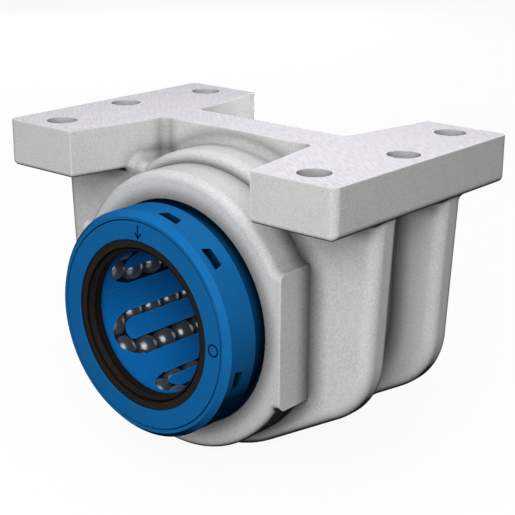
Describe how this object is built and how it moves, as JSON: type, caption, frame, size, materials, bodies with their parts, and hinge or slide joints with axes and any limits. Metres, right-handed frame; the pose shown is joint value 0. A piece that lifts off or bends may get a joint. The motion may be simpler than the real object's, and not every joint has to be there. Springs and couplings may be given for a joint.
{
  "type": "linear bearing block",
  "caption": "Flange-mounted linear ball bearing block: ribbed cast housing hung from a bolted foot, with a sealed recirculating ball bearing for a round shaft.",
  "frame": {"origin": "centre of the milled mounting face on top of the housing", "axes": "+Z out of the mounting face, Y along the shaft, X across the two feet; the end shown in the picture faces -Y"},
  "size_m": [0.088, 0.068, 0.067],
  "materials": {
    "cast_aluminium": "bead blasted casting with a milled mounting face",
    "shell_plastic": "moulded satin blue",
    "cage_plastic": "moulded satin blue",
    "seal_rubber": "matte",
    "raceway_steel": "ground",
    "ball_steel": "polished"
  },
  "bodies": {
    "root": {"housing": "cast_aluminium", "bearing_sleeve": "shell_plastic", "ball_cage": "cage_plastic", "front_end_ring": "shell_plastic", "rear_end_ring": "shell_plastic", "front_seal": "seal_rubber", "rear_seal": "seal_rubber", "raceway_plate_1": "raceway_steel", "raceway_plate_2": "raceway_steel", "raceway_plate_3": "raceway_steel", "raceway_plate_4": "raceway_steel", "raceway_plate_5": "raceway_steel", "raceway_plate_6": "raceway_steel", "ball_circuit_1": "ball_steel", "ball_circuit_2": "ball_steel", "ball_circuit_3": "ball_steel", "ball_circuit_4": "ball_steel", "ball_circuit_5": "ball_steel", "ball_circuit_6": "ball_steel"}
  },
  "joints": []
}
